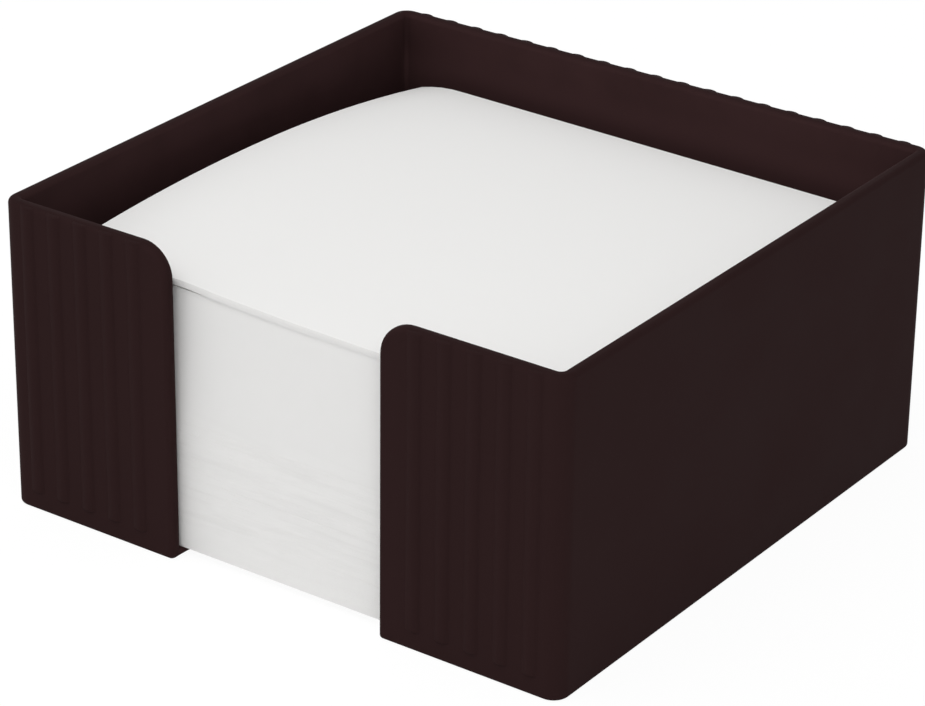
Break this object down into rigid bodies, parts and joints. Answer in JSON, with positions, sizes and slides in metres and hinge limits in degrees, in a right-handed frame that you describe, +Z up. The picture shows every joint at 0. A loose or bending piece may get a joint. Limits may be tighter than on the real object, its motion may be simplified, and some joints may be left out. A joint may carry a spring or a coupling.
{
  "type": "memo cube holder",
  "caption": "Square open-topped desk tray with ribbed front and back walls and a finger gap in front, holding a block of loose memo sheets that lift out.",
  "frame": {"origin": "middle of the underside of the holder", "axes": "+Z up, +Y to the back wall, -Y to the finger gap, +X to the right wall seen from the front"},
  "size_m": [0.096, 0.096, 0.0482],
  "materials": {
    "brown_plastic": "dark brown moulded plastic, fine satin texture",
    "memo_paper": "cut edges of plain white memo paper",
    "top_paper": "plain white uncoated memo paper"
  },
  "bodies": {
    "holder": {"holder_tray": "brown_plastic"},
    "memo_block": {"paper_bundle_01": "memo_paper", "paper_bundle_02": "memo_paper", "paper_bundle_03": "memo_paper", "paper_bundle_04": "memo_paper", "paper_bundle_05": "memo_paper", "paper_bundle_06": "memo_paper", "paper_bundle_07": "memo_paper", "paper_bundle_08": "memo_paper", "paper_bundle_09": "memo_paper", "paper_bundle_10": "memo_paper", "paper_bundle_11": "memo_paper", "paper_bundle_12": "memo_paper", "paper_bundle_13": "memo_paper", "paper_bundle_14": "memo_paper", "paper_bundle_15": "memo_paper", "paper_bundle_16": "memo_paper", "paper_bundle_17": "memo_paper", "paper_bundle_18": "memo_paper", "paper_bundle_19": "memo_paper", "paper_bundle_20": "memo_paper", "paper_bundle_21": "memo_paper", "paper_bundle_22": "memo_paper", "paper_bundle_23": "memo_paper", "paper_bundle_24": "memo_paper"},
    "top_sheet_1": {"loose_sheet_1": "top_paper"},
    "top_sheet_2": {"loose_sheet_2": "top_paper"},
    "top_sheet_3": {"loose_sheet_3": "top_paper"},
    "top_sheet_4": {"loose_sheet_4": "top_paper"},
    "top_sheet_5": {"loose_sheet_5": "top_paper"},
    "top_sheet_6": {"loose_sheet_6": "top_paper"}
  },
  "joints": [
    {"name": "block_lift", "type": "slide", "parent": "holder", "child": "memo_block", "axis": [0, 0, 1], "range_m": [0, 0.05]},
    {"name": "sheet_1_lift", "type": "slide", "parent": "memo_block", "child": "top_sheet_1", "axis": [0, 0, 1], "range_m": [0, 0.014]},
    {"name": "sheet_2_lift", "type": "slide", "parent": "top_sheet_1", "child": "top_sheet_2", "axis": [0, 0, 1], "range_m": [0, 0.014]},
    {"name": "sheet_3_lift", "type": "slide", "parent": "top_sheet_2", "child": "top_sheet_3", "axis": [0, 0, 1], "range_m": [0, 0.014]},
    {"name": "sheet_4_lift", "type": "slide", "parent": "top_sheet_3", "child": "top_sheet_4", "axis": [0, 0, 1], "range_m": [0, 0.014]},
    {"name": "sheet_5_lift", "type": "slide", "parent": "top_sheet_4", "child": "top_sheet_5", "axis": [0, 0, 1], "range_m": [0, 0.014]},
    {"name": "sheet_6_lift", "type": "slide", "parent": "top_sheet_5", "child": "top_sheet_6", "axis": [0, 0, 1], "range_m": [0, 0.014]}
  ]
}
